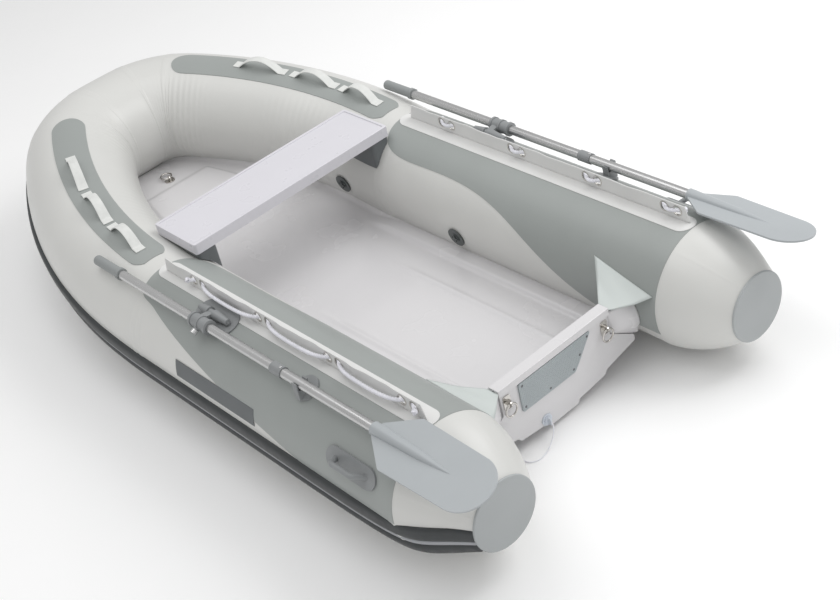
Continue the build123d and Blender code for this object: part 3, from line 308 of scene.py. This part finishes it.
PVC = dict(grain=0.12, grain_size=0.0011, mottle_size=0.3)
finish = {
    "tube_fabric": surface("tube_fabric", (0.64, 0.64, 0.62), 0.36, mottle=0.025, **PVC),
    "rail_patch": surface("rail_patch", (0.70, 0.70, 0.69), 0.38, mottle=0.02, **PVC),
    "webbing": surface("webbing", (0.68, 0.69, 0.67), 0.62, mottle=0.04, mottle_size=0.02, sheen=0.15,
                       pattern="XY", pattern_size=0.0022, pattern_depth=0.0002),
    "grey_overlay": surface("grey_overlay", (0.315, 0.335, 0.325), 0.40, mottle=0.03, **PVC),
    "cap_grey": surface("cap_grey", (0.40, 0.42, 0.425), 0.45, mottle=0.04, grain=0.25, grain_size=0.0016),
    "strake_dark": surface("strake_dark", (0.034, 0.038, 0.040), 0.46, mottle=0.12, mottle_size=0.06, grain=0.2,
                           dirt=0.35),
    "strake_light": surface("strake_light", (0.36, 0.37, 0.39), 0.5, mottle=0.06, grain=0.15),
    "stainless": surface("stainless", (0.62, 0.60, 0.57), 0.16, metal=1.0, mottle=0.08, mottle_size=0.01,
                         rough_spread=0.07),
    "rope": surface("rope", (0.80, 0.80, 0.85), 0.78, mottle=0.06, mottle_size=0.008, sheen=0.3, grain=0.8,
                    grain_size=0.0012),
    "grey_moulding": surface("grey_moulding", (0.25, 0.26, 0.265), 0.42, mottle=0.05, mottle_size=0.05, grain=0.2),
    "chrome_steel": surface("chrome_steel", (0.72, 0.72, 0.72), 0.12, metal=1.0, mottle=0.05, mottle_size=0.02),
    "grip_grey": surface("grip_grey", (0.27, 0.285, 0.285), 0.55, mottle=0.05, grain=0.35, grain_size=0.0018),
    "anodised": surface("anodised", (0.60, 0.60, 0.60), 0.27, metal=1.0, mottle=0.03, grain=0.06, grain_size=0.0012,
                        stretch=(0.03, 1, 1), rough_spread=0.04),
    "blade_grey": surface("blade_grey", (0.40, 0.425, 0.44), 0.36, mottle=0.03, grain=0.18, dirt=0.15),
    "seat_white": surface("seat_white", (0.66, 0.65, 0.69), 0.30, mottle=0.015, coat=0.2, grain=0.08,
                          grain_size=0.003),
    "bracket_dark": surface("bracket_dark", (0.12, 0.13, 0.135), 0.5, mottle=0.08, grain=0.2),
    "valve_dark": surface("valve_dark", (0.075, 0.085, 0.085), 0.38, mottle=0.1, mottle_size=0.02, grain=0.2),
    "gelcoat": surface("gelcoat", (0.68, 0.67, 0.68), 0.24, mottle=0.015, mottle_size=0.5, coat=0.35, grain=0.05,
                       grain_size=0.006, dirt=0.06),
    "keel_grey": surface("keel_grey", (0.30, 0.31, 0.33), 0.6, mottle=0.08, grain=0.3, dirt=0.4),
    "pad_grey": surface("pad_grey", (0.40, 0.44, 0.455), 0.55, mottle=0.04, grain=0.15, pattern="YZ",
                        pattern_size=0.006, pattern_depth=0.0016),
    "screw_dark": surface("screw_dark", (0.16, 0.16, 0.17), 0.35, metal=0.8, mottle=0.1, mottle_size=0.01),
    "gusset_fabric": surface("gusset_fabric", (0.56, 0.60, 0.585), 0.42, mottle=0.03, **PVC),
    "drain_plastic": surface("drain_plastic", (0.62, 0.66, 0.72), 0.28, mottle=0.04, coat=0.3, grain=0.1),
    "badge_dark": surface("badge_dark", (0.11, 0.12, 0.125), 0.45, mottle=0.06, grain=0.15),
}


def dress(piece, slot):
    piece.data.materials.clear()
    piece.data.materials.append(finish[slot])


for sub in frame["record"]["subparts"]:
    dress(frame["nodes"][sub["node"]], sub["material_slot"])
for name in ("lanyard", "port_rope", "starboard_rope", "port_rope_knots", "starboard_rope_knots"):
    dress(bpy.data.objects[name], "rope")


def place(piece, slot, *nodes, body="boat"):
    """Rides a piece on its body, gives it its finish, and hides the CAD nodes that it stands for."""
    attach(piece, body)
    dress(piece, slot)
    if nodes:
        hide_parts(*nodes)
    return piece


# ------------------------------------------------------------------ the air tube's line
tube_low, tube_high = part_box("port_tube")
TUBE_R = (tube_high.z - tube_low.z) / 2
TUBE_Y = tube_high.y - TUBE_R
TUBE_Z = tube_high.z - TUBE_R
CONE_X, BEND_X = tube_low.x, tube_high.x
RISE = math.radians(5.7)
BEND_R = 1.2
SHOULDER = math.radians(32)
CORNER_R = 0.238
FLAT = 0.0436
SHOULDER_R = (TUBE_Y - FLAT - CORNER_R * math.cos(SHOULDER)) / (1 - math.cos(SHOULDER))
TIP_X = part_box("bow_tube")[1].x - TUBE_R
slope = np.array([math.cos(RISE), 0, math.sin(RISE)])
bend_end = np.array([BEND_X + BEND_R * math.sin(RISE), TUBE_Y, TUBE_Z + BEND_R * (1 - math.cos(RISE))])
arcs_run = SHOULDER_R * math.sin(SHOULDER) + CORNER_R * (1 - math.sin(SHOULDER))
INCLINE = (TIP_X - bend_end[0]) / math.cos(RISE) - arcs_run
shoulder_start = bend_end + slope * INCLINE
RUNS = np.cumsum([0, BEND_X - CONE_X, BEND_R * RISE, INCLINE, SHOULDER_R * SHOULDER,
                  CORNER_R * (math.pi / 2 - SHOULDER), FLAT])


def bow_station(turn):
    """Centre, travel and outboard where the bow tube has turned inboard by turn."""
    first = min(turn, SHOULDER)
    along, across = math.sin(first) * SHOULDER_R, math.cos(first) * SHOULDER_R
    if turn > SHOULDER:
        along += CORNER_R * (math.sin(turn) - math.sin(SHOULDER))
        across += CORNER_R * (math.cos(turn) - math.cos(SHOULDER))
    centre = shoulder_start + slope * along + np.array([0, across - SHOULDER_R, 0])
    travel = slope * math.cos(turn) - np.array([0, math.sin(turn), 0])
    outboard = slope * math.sin(turn) + np.array([0, math.cos(turn), 0])
    return centre, travel, outboard


def station(s):
    """Centre, travel and outboard of the port half at a distance s along the tube from the cone."""
    level_y = np.array([0.0, 1.0, 0.0])
    if s <= RUNS[1]:
        return np.array([CONE_X + s, TUBE_Y, TUBE_Z]), np.array([1.0, 0, 0]), level_y
    if s <= RUNS[2]:
        tilt = (s - RUNS[1]) / BEND_R
        centre = np.array([BEND_X + BEND_R * math.sin(tilt), TUBE_Y, TUBE_Z + BEND_R * (1 - math.cos(tilt))])
        return centre, np.array([math.cos(tilt), 0, math.sin(tilt)]), level_y
    if s <= RUNS[3]:
        return bend_end + slope * (s - RUNS[2]), slope, level_y
    if s <= RUNS[4]:
        return bow_station((s - RUNS[3]) / SHOULDER_R)
    if s <= RUNS[5]:
        return bow_station(SHOULDER + (s - RUNS[4]) / CORNER_R)
    centre, travel, outboard = bow_station(math.pi / 2)
    return centre + travel * (s - RUNS[5]), travel, outboard


def wrap(name, distances, angles, radius, closed=False, mirror=1, ends=None):
    """A mesh wrapped on the tube: one vertex for each distance and angle, at radius(s, angle)."""
    verts, faces = [], []
    for s in distances:
        centre, travel, outboard = station(s) if ends is None else ends(s)
        up = np.cross(travel, outboard)
        for angle in angles:
            out = outboard * math.cos(angle) + up * math.sin(angle)
            point = centre + out * radius(s, angle)
            verts.append((point[0], mirror * point[1], point[2]))
    wide = len(angles)
    for i in range(len(distances) - 1):
        for k in range(wide if closed else wide - 1):
            a, b = i * wide + k, i * wide + (k + 1) % wide
            face = (a, a + wide, b + wide, b)
            faces.append(face if mirror > 0 else face[::-1])
    mesh = bpy.data.meshes.new(name)
    mesh.from_pydata(verts, [], faces)
    mesh.shade_smooth()
    return mesh


def flip_outward(mesh):
    bm = bmesh.new()
    bm.from_mesh(mesh)
    bmesh.ops.remove_doubles(bm, verts=bm.verts, dist=1e-5)
    bmesh.ops.recalc_face_normals(bm, faces=bm.faces)
    bm.to_mesh(mesh)
    bm.free()
    mesh.shade_smooth()


FULL_TURN = np.linspace(0, 2 * math.pi, 128, endpoint=False)
TAPE_HALF = 0.012
TAPE_HEIGHT = 0.0009
corner_seam = RUNS[4] + CORNER_R * math.radians(14)
nose_seam = RUNS[5] - CORNER_R * math.radians(10)


def tape(s, seam):
    """Height of the strip of fabric glued over a seam."""
    edge = abs(s - seam) / TAPE_HALF
    return TAPE_HEIGHT * float(np.clip(4 * (1 - edge), 0, 1))


def puckers(s, angle, seam, reach, depth, count):
    """Small folds where the curved fabric is gathered inboard of a bow seam."""
    inboard = max(0.0, -math.cos(angle)) ** 1.5
    near = math.exp(-(abs(s - seam) / reach) ** 2)
    return depth * inboard * near * (0.5 + 0.5 * math.sin(count * s + 2.0 * math.sin(3 * angle)))


def bow_radius(s, angle):
    folds = puckers(s, angle, RUNS[4] - 0.02, 0.10, 0.0022, 260)
    folds += puckers(s, angle, RUNS[3] + 0.30, 0.16, 0.0014, 210)
    taped = max(tape(s, corner_seam), tape(s, nose_seam), tape(s, RUNS[1] + 0.02))
    return TUBE_R + taped - folds


def aft_radius(s, angle):
    return TUBE_R + max(tape(s, RUNS[1] - 0.012), tape(s, 0.012))


bow_steps = np.linspace(RUNS[1], RUNS[6], 420)
halves = [wrap("half", bow_steps, FULL_TURN, bow_radius, closed=True, mirror=side) for side in (1, -1)]
joined = bmesh.new()
for half in halves:
    joined.from_mesh(half)
    bpy.data.meshes.remove(half)
bow_mesh = bpy.data.meshes.new("bow_skin")
joined.to_mesh(bow_mesh)
joined.free()
flip_outward(bow_mesh)
place(link("bow_skin", bow_mesh), "tube_fabric", "bow_tube", "chamber_baffles")
aft_steps = np.concatenate([np.linspace(0, 0.04, 14), np.linspace(0.06, RUNS[1] - 0.05, 40),
                            np.linspace(RUNS[1] - 0.04, RUNS[1], 14)])
for name, side in (("port", 1), ("starboard", -1)):
    mesh = wrap(f"{name}_aft_skin", aft_steps, FULL_TURN, aft_radius, closed=True, mirror=side)
    flip_outward(mesh)
    place(link(f"{name}_aft_skin", mesh), "tube_fabric", f"{name}_tube")

# The tail cones swell a little between the tube and the cap.
cone_low, cone_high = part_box("tail_cones")
CAP_R = (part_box("end_caps")[1].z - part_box("end_caps")[0].z) / 2 - 0.004
CONE_RUN = CONE_X - cone_low.x
STRAKE_MID = math.radians(-18.5)


def cone_station(t):
    return np.array([CONE_X - CONE_RUN * t, TUBE_Y, TUBE_Z]), np.array([1.0, 0, 0]), np.array([0.0, 1.0, 0])


def cone_radius(t, angle):
    from_strake = abs((angle - STRAKE_MID + math.pi) % (2 * math.pi) - math.pi)
    free = float(np.clip((from_strake - math.radians(38)) / math.radians(30), 0, 1))
    swell = 0.004 + 0.013 * free * free * (3 - 2 * free)
    gore = 0.0007 * max(0.0, 1 - abs(math.sin(2 * (angle - 0.5))) / 0.06)
    return TUBE_R + (CAP_R - TUBE_R) * t + swell * math.sin(math.pi * t) ** 0.8 + gore * min(1.0, 8 * t)


for name, side in (("port", 1), ("starboard", -1)):
    mesh = wrap(f"{name}_cone_skin", np.linspace(0, 1, 40), np.linspace(0, 2 * math.pi, 240, endpoint=False),
                cone_radius, closed=True, mirror=side, ends=cone_station)
    flip_outward(mesh)
    place(link(f"{name}_cone_skin", mesh), "tube_fabric", "tail_cones")

# ------------------------------------------------------------------ moulded deck liner
deck_node = frame["nodes"]["deck"]
deck_tree = BVHTree.FromPolygons([v.co for v in deck_node.data.vertices],
                                 [p.vertices for p in deck_node.data.polygons])
deck_low, deck_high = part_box("deck")


def floor_at(x, y):
    """Height of the flat CAD deck at a place, or None beside it."""
    spot = deck_tree.ray_cast(Vector((x, y, 1)), Vector((0, 0, -1)))[0]
    return None if spot is None else spot.z


def half_width(x):
    inside, outside = 0.0, deck_high.y + 0.01
    for _ in range(14):
        middle = (inside + outside) / 2
        if floor_at(x, middle) is None:
            outside = middle
        else:
            inside = middle
    return inside


def smooth(value, low, high):
    t = min(1.0, max(0.0, (value - low) / (high - low)))
    return t * t * (3 - 2 * t)


WELL_FRONT = 0.02           # the sunken floor runs from here back to the transom
STEP_X = 0.50


def relief(x, y, edge):
    """Raised and sunken shapes of the moulding, above the flat deck."""
    from_tube = edge - abs(y)
    fillet = 0.020 * (1 - smooth(from_tube, 0.0, 0.035)) ** 2
    side_ledge = 0.012 * (1 - smooth(from_tube, 0.055, 0.075)) * (1 - smooth(x, WELL_FRONT, WELL_FRONT + 0.16))
    ridge = 0.006 * math.exp(-((abs(y) - 0.155) / 0.010) ** 2) * smooth(x, deck_low.x + 0.05, deck_low.x + 0.10)
    ridge *= 1 - smooth(x, -0.28, -0.05)
    aft_rise = 0.016 * (1 - smooth(x, deck_low.x + 0.03, deck_low.x + 0.075)) * smooth(abs(y), 0.06, 0.10)
    panel = 0.006 * smooth(x, STEP_X + 0.20, STEP_X + 0.225) * (1 - smooth(abs(y), edge * 0.62, edge * 0.62 + 0.02))
    panel *= 1 - smooth(x, deck_high.x - 0.20, deck_high.x - 0.17)
    return max(fillet, side_ledge) + ridge + aft_rise + panel


xs = np.linspace(deck_low.x + 0.0008, deck_high.x - 0.001, 300)
across = np.linspace(-1, 1, 121)
verts, faces = [], []
for x in xs:
    edge = half_width(x)
    for share in across:
        y = share * edge
        ground = floor_at(x, y * 0.98)
        verts.append((x, y, ground + 0.0004 + relief(x, y, edge)))
for i in range(len(xs) - 1):
    for k in range(len(across) - 1):
        a = i * len(across) + k
        faces.append((a, a + len(across), a + len(across) + 1, a + 1))
liner = bpy.data.meshes.new("deck_liner")
liner.from_pydata(verts, [], faces)
flip_outward(liner)
place(link("deck_liner", liner), "gelcoat")

# ------------------------------------------------------------------ rub strake, two ribs with a stripe between
STRAKE = [(-36.5, 0.0), (-36.0, 0.012), (-34.5, 0.019), (-31.0, 0.0215), (-26.0, 0.0215), (-23.0, 0.019),
          (-21.6, 0.013), (-21.2, 0.0105), (-15.6, 0.0105), (-15.2, 0.012), (-14.0, 0.0145), (-11.0, 0.0160),
          (-5.0, 0.0150), (-2.2, 0.0120), (-1.2, 0.0070), (-0.8, 0.0)]
STRIPE = [(-20.9, 0.0100), (-20.4, 0.0128), (-18.4, 0.0138), (-16.4, 0.0128), (-15.9, 0.0100)]
TAIL_SINK = 0.5              # how far the ribs fade towards the cap
TAIL_OPEN = 0.30             # how far the angles open out as the cone narrows

TAIL_LEAN = math.radians(6)  # how far it climbs on the cone
BEND_ROWS = slice(8, 34)     # rows either side of the cone's front edge, where the ribs bend smoothly


def strake_mesh(name, profile, side):
    """The profile carried from the end cap over the cone and round to the bow's middle."""
    verts, faces = [], []
    path = [("cone", t) for t in np.linspace(1, 0, 26)[:-1]]
    path += [("tube", s) for s in np.concatenate([np.linspace(0, RUNS[1], 30), bow_steps[1::3], [RUNS[6]]])]
    for kind, where in path:
        if kind == "cone":
            centre, travel, outboard = cone_station(where)
            blend = smooth(where, 0, 1)
            opening = 1 + (TUBE_R / CAP_R - 1) * TAIL_OPEN * blend
            base = cone_radius(where, STRAKE_MID) - 0.001
            fade = 1 - TAIL_SINK * blend
            lean = TAIL_LEAN * blend
        else:
            centre, travel, outboard = station(where)
            opening, base, fade, lean = 1.0, TUBE_R - 0.001, 1.0, 0.0
        up = np.cross(travel, outboard)
        for angle, height in profile:
            turn = STRAKE_MID + (math.radians(angle) - STRAKE_MID) * opening + lean
            point = centre + (outboard * math.cos(turn) + up * math.sin(turn)) * (base + height * fade)
            verts.append((point[0], side * point[1], point[2]))
    wide = len(profile)
    rows = np.array(verts).reshape(len(path), wide, 3)
    for _ in range(40):
        eased = (rows[:-2] + 2 * rows[1:-1] + rows[2:]) / 4
        rows[1:-1][BEND_ROWS] = eased[BEND_ROWS]
    verts = rows.reshape(-1, 3).tolist()
    for i in range(len(path) - 1):
        for k in range(wide - 1):
            a = i * wide + k
            faces.append((a, a + wide, a + wide + 1, a + 1))
    faces.append(list(range(wide)))
    mesh = bpy.data.meshes.new(name)
    mesh.from_pydata(verts, [], faces)
    flip_outward(mesh)
    return mesh


for name, side in (("port", 1), ("starboard", -1)):
    strake = link(f"{name}_strake", strake_mesh(f"{name}_strake", STRAKE, side))
    place(strake, "strake_dark", "rub_strake")
    stripe = link(f"{name}_stripe", strake_mesh(f"{name}_stripe", STRIPE, side))
    place(stripe, "strake_light", "strake_stripe")

# ------------------------------------------------------------------ gusset flaps between the transom and the tubes
board_low, board_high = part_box("transom")
cap_low, cap_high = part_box("transom_cap")
FLAP_LIFT = 0.0022


def on_tube(x, degrees):
    """A point just off the straight port tube."""
    turn = math.radians(degrees)
    reach = TUBE_R + FLAP_LIFT
    return np.array([x, TUBE_Y + reach * math.cos(turn), TUBE_Z + reach * math.sin(turn)])


def sheet_between(name, inner, outer, side, belly, thick=0.0022):
    """A fabric panel between two edges, given as lists of points, with a soft belly between them."""
    verts, faces = [], []
    rows, columns = len(inner), 18
    for i, (a, b) in enumerate(zip(inner, outer)):
        for k in range(columns):
            t = k / (columns - 1)
            point = np.array(a) * (1 - t) + np.array(b) * t + np.array(belly) * math.sin(math.pi * t)
            point[2] += 0.0012 * math.sin(9 * t + i * 0.35) * math.sin(math.pi * t)
            verts.append((point[0], side * point[1], point[2]))
    for i in range(rows - 1):
        for k in range(columns - 1):
            a = i * columns + k
            faces.append((a, a + columns, a + columns + 1, a + 1))
    mesh = bpy.data.meshes.new(name)
    mesh.from_pydata(verts, [], faces)
    flip_outward(mesh)
    piece = link(name, mesh)
    thicken = piece.modifiers.new("thickness", "SOLIDIFY")
    thicken.thickness = thick
    thicken.offset = 0
    return piece


def edge(start, end, count=16):
    return [np.array(start) * (1 - t) + np.array(end) * t for t in np.linspace(0, 1, count)]


flap_top = board_high.z - 0.003
for name, side in (("port", 1), ("starboard", -1)):
    end_y = cap_high.y + 0.001
    inner = edge((board_high.x + 0.004, end_y, flap_top), (board_low.x - 0.004, end_y, flap_top))
    outer = [on_tube(x, angle) for x, angle in zip(np.linspace(-0.858, -1.086, 16), np.linspace(147, 161, 16))]
    place(sheet_between(f"{name}_gusset_flap", inner, outer, side, (0, 0, -0.006)), "gusset_fabric",
          "transom_gussets")
    # The joining band below runs from the board's slanted side round to the tube.
    inner = edge((board_low.x + 0.006, 0.2115, flap_top - 0.012), (board_low.x + 0.006, 0.2115, 0.162), 9)
    inner += edge((board_low.x + 0.006, 0.2180, 0.154), (board_low.x + 0.006, 0.2985, 0.1035), 9)
    outer = [on_tube(board_low.x - 0.004 - 0.03 * math.sin(t * math.pi), angle)
             for t, angle in zip(np.linspace(0, 1, 18), np.linspace(167, 206, 18))]
    place(sheet_between(f"{name}_joining_band", inner, outer, side, (-0.010, 0, 0)), "gelcoat")

# ------------------------------------------------------------------ webbing grab handles
STRAP_HALF = 0.017
STRAP_THICK = 0.003
STRAP_RISE = 0.037
STRAP_FOOT = 0.026
PAD_THICK = 0.002
for number, (turn, span) in enumerate(((4.4, 0.190), (12.0, 0.205), (20.3, 0.215)), 1):
    centre, travel, outboard = bow_station(math.radians(turn))
    up = np.cross(travel, outboard)
    for name, side in (("port", 1), ("starboard", -1)):
        verts, faces = [], []
        along = np.linspace(-span / 2, span / 2, 64)
        across = np.linspace(-1, 1, 9)
        reach = span / 2 - STRAP_FOOT
        for u in along:
            lift = max(0.0, 1 - (abs(u) / reach) ** 2.2)
            rise = STRAP_RISE * lift ** 1.1
            narrow = 1 - 0.10 * lift
            for v in across:
                cup = -0.0012 * lift * v * v + 0.0008 * lift * math.sin(40 * u + number)
                point = (centre + travel * u + outboard * v * STRAP_HALF * narrow
                         + up * (TUBE_R + PAD_THICK + STRAP_THICK / 2 + rise + cup))
                verts.append((point[0], side * point[1], point[2]))
        wide = len(across)
        for i in range(len(along) - 1):
            for k in range(wide - 1):
                a = i * wide + k
                faces.append((a, a + wide, a + wide + 1, a + 1))
        mesh = bpy.data.meshes.new(f"{name}_strap_{number}")
        mesh.from_pydata(verts, [], faces)
        mesh.shade_smooth()
        strap = link(f"{name}_strap_{number}", mesh)
        thicken = strap.modifiers.new("thickness", "SOLIDIFY")
        thicken.thickness = STRAP_THICK
        thicken.offset = 0
        soften = strap.modifiers.new("edge", "BEVEL")
        soften.width = 0.0009
        soften.segments = 2
        place(strap, "webbing", "grab_handles")

# ------------------------------------------------------------------ rail flaps, fabric with eyelets
flap_low, flap_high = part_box("rail_flaps")
FLAP_SLANT = 0.014
FLAP_THICK = 0.003
flap_xs = np.linspace(flap_low.x, flap_high.x, 400)
flap_zs = np.linspace(0, 1, 18)
for name, side in (("port", 1), ("starboard", -1)):
    verts, keep = [], []
    for x in flap_xs:
        for share in flap_zs:
            z = flap_low.z + (flap_high.z - flap_low.z) * share
            middle = (flap_low.x + flap_high.x) / 2
            shrink = 1 - FLAP_SLANT * share / (flap_high.x - middle)
            px = middle + (x - middle) * shrink
            clear = min(abs(px - hole) for hole in holes)
            calm = smooth(clear, 0.02, 0.07)
            bow_out = 0.0022 * calm * share * math.sin(px * 23 + side) + 0.001 * calm * math.sin(px * 61)
            verts.append((px, side * (FLAP_Y + bow_out * share), z))
            keep.append(min(math.hypot(px - hole, z - GROMMET_Z) for hole in holes) > GROMMET_HOLE + 0.0004)
    faces, wide = [], len(flap_zs)
    for i in range(len(flap_xs) - 1):
        for k in range(wide - 1):
            a = i * wide + k
            face = (a, a + wide, a + wide + 1, a + 1)
            if all(keep[v] for v in face):
                faces.append(face)
    mesh = bpy.data.meshes.new(f"{name}_flap")
    mesh.from_pydata(verts, [], faces)
    bm = bmesh.new()
    bm.from_mesh(mesh)
    bmesh.ops.delete(bm, geom=[v for v in bm.verts if not v.link_faces], context="VERTS")
    bm.to_mesh(mesh)
    bm.free()
    mesh.shade_smooth()
    flap = link(f"{name}_flap", mesh)
    thicken = flap.modifiers.new("thickness", "SOLIDIFY")
    thicken.thickness = FLAP_THICK
    thicken.offset = 0
    place(flap, "rail_patch", "rail_flaps")

# ------------------------------------------------------------------ light, floor and backdrop
floor_mesh = bpy.data.meshes.new("floor")
floor_mesh.from_pydata([(-30, -30, 0), (30, -30, 0), (30, 30, 0), (-30, 30, 0)], [], [(0, 1, 2, 3)])
floor = link("floor", floor_mesh)
floor.data.materials.append(surface("floor", (0.97, 0.97, 0.97), 0.9, mottle=0.003))

world = bpy.data.worlds.new("studio")
scene.world = world
world.use_nodes = True
world.node_tree.nodes["Background"].inputs["Color"].default_value = (1, 1, 1, 1)
world.node_tree.nodes["Background"].inputs["Strength"].default_value = 0.60


def softbox(name, spot, target, size, power):
    lamp = bpy.data.lights.new(name, "AREA")
    lamp.shape = "RECTANGLE"
    lamp.size, lamp.size_y = size
    lamp.energy = power
    piece = link(name, lamp)
    piece.location = spot
    piece.rotation_euler = (Vector(target) - Vector(spot)).to_track_quat("-Z", "Y").to_euler()


softbox("key", (-1.5, -2.6, 3.4), (0, 0, 0.2), (3.2, 2.4), 84)
softbox("top", (0.4, 0.6, 4.2), (0, 0, 0.2), (4.0, 3.0), 50)
softbox("fill", (-4.0, 3.0, 1.8), (0, 0, 0.2), (2.5, 2.0), 10)
scene.view_settings.view_transform = "Standard"
